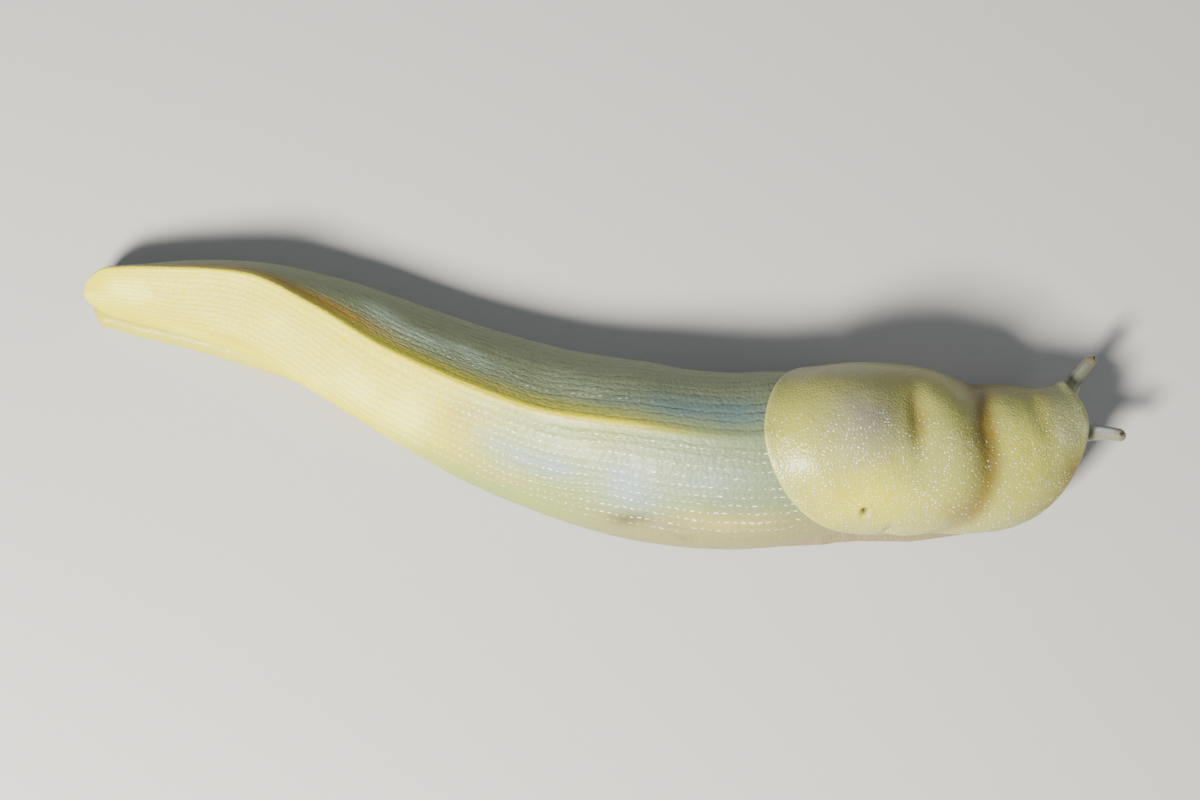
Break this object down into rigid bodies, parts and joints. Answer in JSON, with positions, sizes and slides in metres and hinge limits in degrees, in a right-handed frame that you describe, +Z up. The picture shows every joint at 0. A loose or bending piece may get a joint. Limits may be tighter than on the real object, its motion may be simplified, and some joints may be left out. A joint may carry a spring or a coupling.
{
  "type": "banana slug",
  "caption": "Life-size banana slug crawling on flat ground, body gently bent, keeled tail, granular mantle shield and the head half drawn in under it.",
  "frame": {"origin": "on the ground, under the middle of the animal's bounding box", "axes": "+X towards the head, +Y towards the animal's left side, +Z up from the ground it crawls on"},
  "size_m": [0.1746, 0.0502, 0.0261],
  "materials": {
    "skin": "wet skin in fine rows of granules along the body",
    "foot": "smooth wet skin",
    "mantle": "wet skin with fine even granules",
    "feeler": "smooth wet skin",
    "eye": "glossy black"
  },
  "bodies": {
    "root": {"tail": "skin", "back_rear": "skin", "back_middle": "skin", "trunk_front": "skin", "neck": "skin", "head": "skin", "foot_tail": "foot", "foot_rear": "foot", "foot_middle": "foot", "foot_front": "foot", "mantle_shield": "mantle", "mantle_hood": "mantle", "optic_tentacle_left": "feeler", "optic_tentacle_right": "feeler", "oral_tentacle_left": "feeler", "oral_tentacle_right": "feeler", "eye_left": "eye", "eye_right": "eye"}
  },
  "joints": []
}
